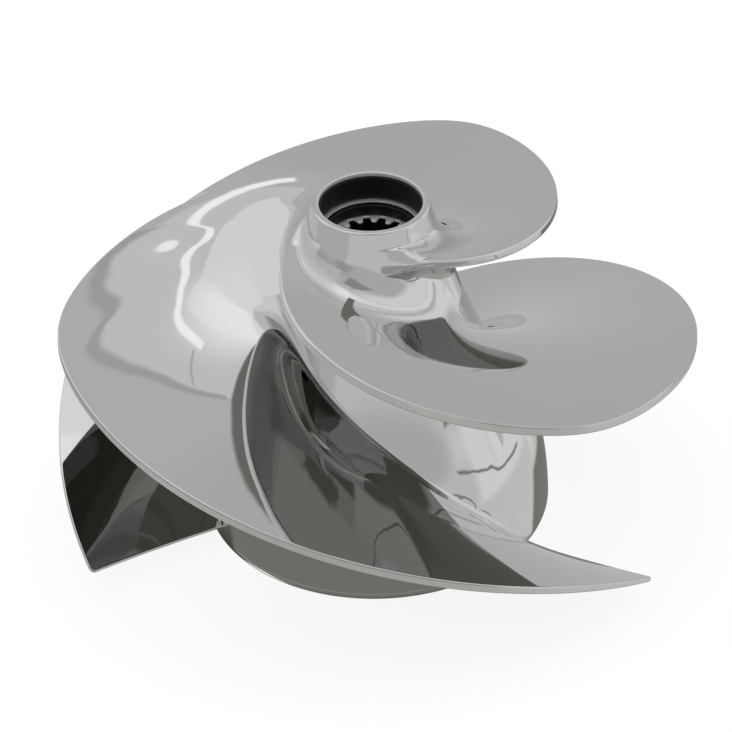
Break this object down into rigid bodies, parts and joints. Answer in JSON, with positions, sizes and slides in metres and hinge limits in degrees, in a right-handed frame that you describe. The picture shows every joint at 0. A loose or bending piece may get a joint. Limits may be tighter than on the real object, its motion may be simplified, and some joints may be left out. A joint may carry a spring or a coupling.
{
  "type": "jet pump impeller",
  "caption": "Polished steel jet-pump impeller with swept helical blades on a hollow bell-shaped hub and a splined bore.",
  "frame": {"origin": "on the rotation axis, in the plane of the hub's rear rim, which the impeller stands on", "axes": "+Z along the rotation axis towards the splined front end; -Y is the side that faces the viewer, +X to the right"},
  "size_m": [0.159, 0.1588, 0.089],
  "materials": {
    "polished_stainless": "stainless steel, hand polished to a mirror with faint waves",
    "machined_steel": "turned stainless steel with fine tool marks",
    "spline_steel": "broached and ground steel",
    "spring_steel": "bright spring steel",
    "black_neoprene": "moulded satin black",
    "black_rubber": "moulded matt black"
  },
  "bodies": {
    "root": {"hub_shell": "polished_stainless", "blade_1": "polished_stainless", "blade_2": "polished_stainless", "blade_3": "polished_stainless", "hub_core": "machined_steel", "spline_sleeve": "spline_steel", "boot_ring": "spring_steel", "bore_boot": "black_neoprene", "front_seal": "black_neoprene", "shaft_damper": "black_rubber", "rear_seal": "black_rubber"}
  },
  "joints": []
}
